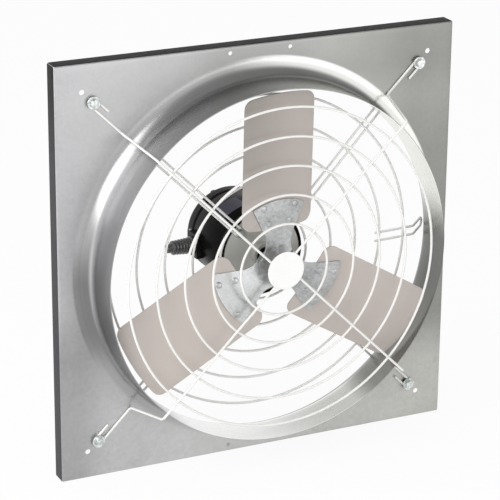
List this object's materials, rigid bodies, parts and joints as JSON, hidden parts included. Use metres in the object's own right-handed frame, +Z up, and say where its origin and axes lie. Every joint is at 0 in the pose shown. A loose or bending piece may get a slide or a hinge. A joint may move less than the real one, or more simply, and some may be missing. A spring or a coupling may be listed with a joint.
{
  "type": "panel exhaust fan",
  "caption": "Square galvanised wall panel fan: venturi collar, motor on wire arms with a bladed propeller, and a white wire guard on each face.",
  "frame": {"origin": "centre of the panel's front face, where the fan's axis crosses it", "axes": "+Z up, +X to the right seen from the guarded front, which faces -Y; the fan's axis is Y"},
  "size_m": [0.5588, 0.1895, 0.5588],
  "materials": {
    "sheet": "spangled galvanised sheet",
    "white_wire": "white powder coat over steel wire",
    "zinc": "zinc plated steel",
    "motor_black": "satin black enamel",
    "alloy": "bare die-cast alloy",
    "laminations": "stacked electrical steel",
    "copper": "varnished copper wire",
    "bronze": "oil-filled sintered bronze",
    "boot_rubber": "glossy black rubber",
    "plate": "blank dark plate",
    "shaft_steel": "ground steel",
    "slinger_rubber": "black rubber",
    "hub_steel": "turned steel",
    "hub_plate": "spangled galvanised plate",
    "black_oxide": "blackened steel",
    "blade_paint": "pinkish grey primer on steel sheet",
    "rivet": "bright alloy"
  },
  "bodies": {
    "frame": {"venturi_panel": "sheet", "front_ring_1": "white_wire", "front_ring_2": "white_wire", "front_ring_3": "white_wire", "front_ring_4": "white_wire", "front_ring_5": "white_wire", "front_spoke_1": "white_wire", "front_spoke_2": "white_wire", "front_spoke_3": "white_wire", "front_spoke_4": "white_wire", "front_disc": "white_wire", "rear_ring_1": "white_wire", "rear_ring_2": "white_wire", "rear_ring_3": "white_wire", "rear_ring_4": "white_wire", "rear_ring_5": "white_wire", "motor_arm_1": "white_wire", "motor_arm_2": "white_wire", "motor_arm_3": "white_wire", "motor_arm_4": "white_wire", "side_loop": "white_wire", "guard_bolts": "zinc", "front_washers": "zinc", "rear_washers": "zinc", "guard_nuts": "zinc", "rear_bell_screws": "zinc", "mounting_studs": "zinc", "stud_washers": "zinc", "stud_nuts": "zinc", "lid_screws": "zinc", "motor_shell": "motor_black", "rear_end_bell": "motor_black", "terminal_box": "motor_black", "terminal_lid": "motor_black", "front_end_bell": "alloy", "stator_core": "laminations", "windings": "copper", "front_bearing": "bronze", "rear_bearing": "bronze", "cable_boot": "boot_rubber", "rating_plate": "plate"},
    "rotor": {"motor_shaft": "shaft_steel", "rotor_core": "laminations", "thrust_collars": "hub_steel", "slinger": "slinger_rubber", "hub_boss": "hub_steel", "hub_spider": "hub_plate", "set_screw": "black_oxide", "blade_1": "blade_paint", "blade_2": "blade_paint", "blade_3": "blade_paint", "blade_rivets": "rivet"}
  },
  "joints": [
    {"name": "propeller_spin", "type": "hinge", "parent": "frame", "child": "rotor", "pos_m": [0, 0, 0], "axis": [0, -1, 0], "continuous": true}
  ]
}
